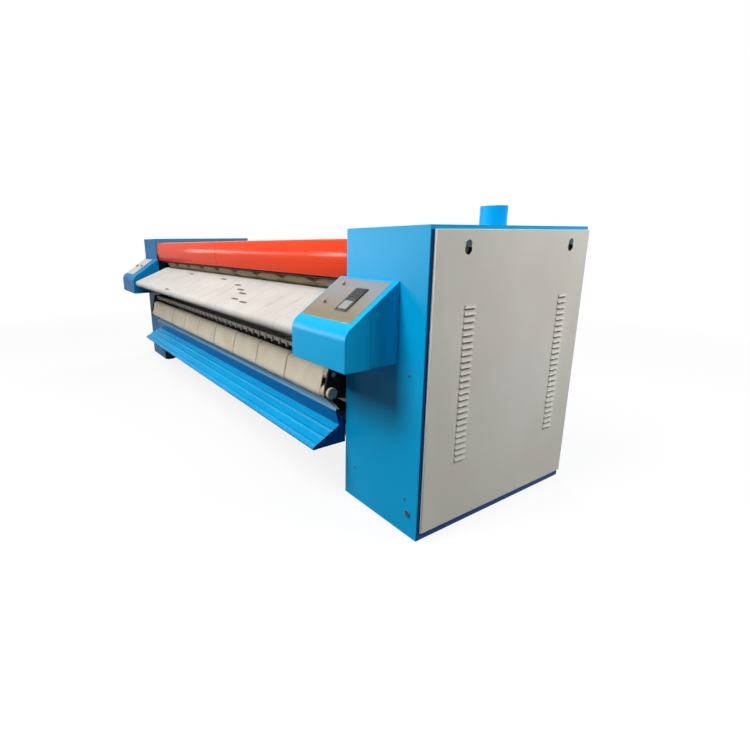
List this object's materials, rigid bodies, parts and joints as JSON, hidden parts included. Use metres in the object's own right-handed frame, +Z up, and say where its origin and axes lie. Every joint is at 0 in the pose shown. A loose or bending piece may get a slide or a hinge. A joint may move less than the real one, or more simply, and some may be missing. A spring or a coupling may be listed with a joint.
{
  "type": "flatwork ironer",
  "caption": "Heated-cylinder laundry ironer: sloping feed belts lead under a glossy hood, ironing belts wrap the cylinder, and linen drops into a catch tray on the same side.",
  "frame": {"origin": "centre of the footprint, on the floor", "axes": "+X along the working width to the operator's right, +Y from the feed side to the back, +Z up"},
  "size_m": [4.658, 1.418, 1.505],
  "materials": {
    "blue_paint": "smooth gloss paint",
    "grey_paint": "fine satin paint",
    "red_enamel": "high gloss enamel",
    "brushed_plate": "brushed, slightly warm",
    "dark_steel": "dark matt paint",
    "bare_steel": "ground steel",
    "polished_steel": "polished cylinder shell",
    "cast_iron": "as cast",
    "motor_paint": "satin machine paint",
    "zinc_sheet": "zinc coated sheet",
    "feed_canvas": "off-white woven canvas",
    "ironing_felt": "beige needle felt",
    "black_plastic": "black",
    "rubber": "black ribbed belt",
    "red_plastic": "red",
    "green_plastic": "green",
    "pink_plastic": "pale pink"
  },
  "bodies": {
    "frame": {"ironing_belt_1": "ironing_felt", "ironing_belt_2": "ironing_felt", "ironing_belt_3": "ironing_felt", "ironing_belt_4": "ironing_felt", "ironing_belt_5": "ironing_felt", "ironing_belt_6": "ironing_felt", "ironing_belt_7": "ironing_felt", "ironing_belt_8": "ironing_felt", "ironing_belt_9": "ironing_felt", "feed_belt_1": "feed_canvas", "feed_belt_2": "feed_canvas", "feed_belt_3": "feed_canvas", "feed_belt_4": "feed_canvas", "feed_belt_5": "feed_canvas", "side_frame_left": "blue_paint", "side_frame_right": "blue_paint", "main_bearing_left": "cast_iron", "main_bearing_right": "cast_iron", "catch_tray": "blue_paint", "front_cross_beam": "dark_steel", "rear_cross_beam": "dark_steel", "hood_left": "red_enamel", "hood_right": "red_enamel", "rear_cover": "blue_paint", "cabinet_cover_left": "blue_paint", "cabinet_cover_right": "blue_paint", "side_panel_left": "grey_paint", "side_panel_right": "grey_paint", "control_box_left": "blue_paint", "control_box_right": "blue_paint", "control_plate_left": "brushed_plate", "control_plate_right": "brushed_plate", "display": "black_plastic", "feed_table_bed": "bare_steel", "roller_arm_left": "dark_steel", "roller_arm_right": "dark_steel", "stripper_bar": "dark_steel", "fan_casing": "zinc_sheet", "fan_motor": "motor_paint", "exhaust_pipe": "blue_paint", "drive_belt": "rubber", "gear_reducer": "motor_paint", "drive_motor": "motor_paint"},
    "cylinder": {"heated_cylinder": "polished_steel", "cylinder_pulley": "cast_iron"},
    "nip": {"nip_roller": "bare_steel"},
    "upper_outfeed": {"upper_outfeed_roller": "ironing_felt"},
    "lower_outfeed": {"lower_outfeed_roller": "ironing_felt"},
    "lower_return": {"lower_return_roller": "bare_steel"},
    "upper_return": {"upper_return_roller": "bare_steel"},
    "feed_nose": {"feed_nose_roller": "bare_steel"},
    "feed_drive": {"feed_drive_roller": "bare_steel"},
    "motor_shaft": {"motor_pulley": "cast_iron"},
    "impeller": {"fan_impeller": "zinc_sheet"},
    "guard": {"finger_guard": "black_plastic"},
    "start": {"start_button": "green_plastic"},
    "stop": {"stop_button": "red_plastic"},
    "faster": {"faster_button": "pink_plastic"},
    "slower": {"slower_button": "pink_plastic"}
  },
  "joints": [
    {"name": "cylinder_spin", "type": "hinge", "parent": "frame", "child": "cylinder", "pos_m": [0, 0.099, 0.84], "axis": [1, 0, 0], "continuous": true},
    {"name": "nip_spin", "type": "hinge", "parent": "frame", "child": "nip", "pos_m": [0, -0.26027, 1.14147], "axis": [1, 0, 0], "continuous": true},
    {"name": "upper_outfeed_spin", "type": "hinge", "parent": "frame", "child": "upper_outfeed", "pos_m": [0, -0.479, 0.678], "axis": [1, 0, 0], "continuous": true},
    {"name": "lower_outfeed_spin", "type": "hinge", "parent": "frame", "child": "lower_outfeed", "pos_m": [0, -0.501, 0.585], "axis": [1, 0, 0], "continuous": true},
    {"name": "lower_return_spin", "type": "hinge", "parent": "frame", "child": "lower_return", "pos_m": [0, 0.529, 0.345], "axis": [1, 0, 0], "continuous": true},
    {"name": "upper_return_spin", "type": "hinge", "parent": "frame", "child": "upper_return", "pos_m": [0, 0.589, 1.285], "axis": [1, 0, 0], "continuous": true},
    {"name": "feed_nose_spin", "type": "hinge", "parent": "frame", "child": "feed_nose", "pos_m": [0, -0.659, 0.922], "axis": [1, 0, 0], "continuous": true},
    {"name": "feed_drive_spin", "type": "hinge", "parent": "frame", "child": "feed_drive", "pos_m": [0, -0.333, 1.048], "axis": [1, 0, 0], "continuous": true},
    {"name": "motor_spin", "type": "hinge", "parent": "frame", "child": "motor_shaft", "pos_m": [0, -0.111, 0.35], "axis": [1, 0, 0], "continuous": true},
    {"name": "fan_spin", "type": "hinge", "parent": "frame", "child": "impeller", "pos_m": [0, 0.379, 1.15], "axis": [1, 0, 0], "continuous": true},
    {"name": "guard_swing", "type": "hinge", "parent": "frame", "child": "guard", "pos_m": [0, -0.377, 1.2], "axis": [1, 0, 0], "range_deg": [0, 25]},
    {"name": "start_press", "type": "slide", "parent": "frame", "child": "start", "axis": [0, 0.565, -0.8251], "range_m": [0, 0.004], "stiffness_N_per_m": 400, "springref_m": -0.002},
    {"name": "stop_press", "type": "slide", "parent": "frame", "child": "stop", "axis": [0, 0.565, -0.8251], "range_m": [0, 0.004], "stiffness_N_per_m": 400, "springref_m": -0.002},
    {"name": "faster_press", "type": "slide", "parent": "frame", "child": "faster", "axis": [0, 0.565, -0.8251], "range_m": [0, 0.004], "stiffness_N_per_m": 400, "springref_m": -0.002},
    {"name": "slower_press", "type": "slide", "parent": "frame", "child": "slower", "axis": [0, 0.565, -0.8251], "range_m": [0, 0.004], "stiffness_N_per_m": 400, "springref_m": -0.002}
  ],
  "couplings": [
    {"joint": "nip_spin", "follows": "cylinder_spin", "ratio": -6.6667},
    {"joint": "upper_outfeed_spin", "follows": "cylinder_spin", "ratio": -11.765},
    {"joint": "lower_outfeed_spin", "follows": "cylinder_spin", "ratio": -11.765},
    {"joint": "lower_return_spin", "follows": "cylinder_spin", "ratio": -8.8889},
    {"joint": "upper_return_spin", "follows": "cylinder_spin", "ratio": -8.8889},
    {"joint": "feed_nose_spin", "follows": "cylinder_spin", "ratio": 13.333},
    {"joint": "feed_drive_spin", "follows": "cylinder_spin", "ratio": 11.111},
    {"joint": "motor_spin", "follows": "cylinder_spin", "ratio": 3.3}
  ]
}
